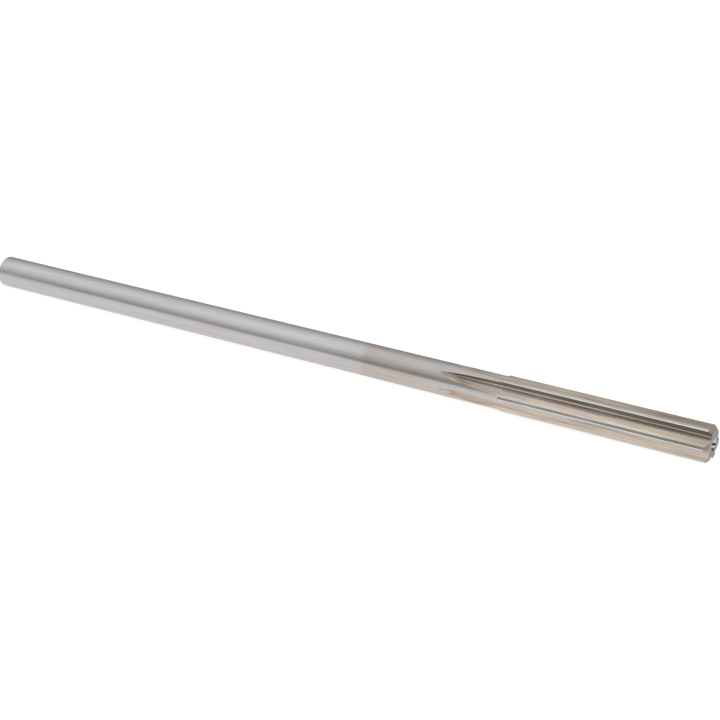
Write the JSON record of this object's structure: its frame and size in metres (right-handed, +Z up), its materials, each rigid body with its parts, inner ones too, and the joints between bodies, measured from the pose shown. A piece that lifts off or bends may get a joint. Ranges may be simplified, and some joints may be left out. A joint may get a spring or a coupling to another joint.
{
  "type": "machine reamer",
  "caption": "Machine reamer in high-speed steel: a plain round shank for a chuck or collet, and a slightly larger straight-fluted head with a chamfered lead that sizes a drilled hole.",
  "frame": {"origin": "middle of the tool's length, on the surface that it lies on, straight below its axis", "axes": "+X along the tool's axis from the shank end to the cutting end, +Z up from the surface that it lies on, +Y to the left as seen along +X"},
  "size_m": [0.1524, 0.0066, 0.0061],
  "materials": {
    "high_speed_steel": "bright ground"
  },
  "bodies": {
    "root": {"reamer": "high_speed_steel"}
  },
  "joints": []
}
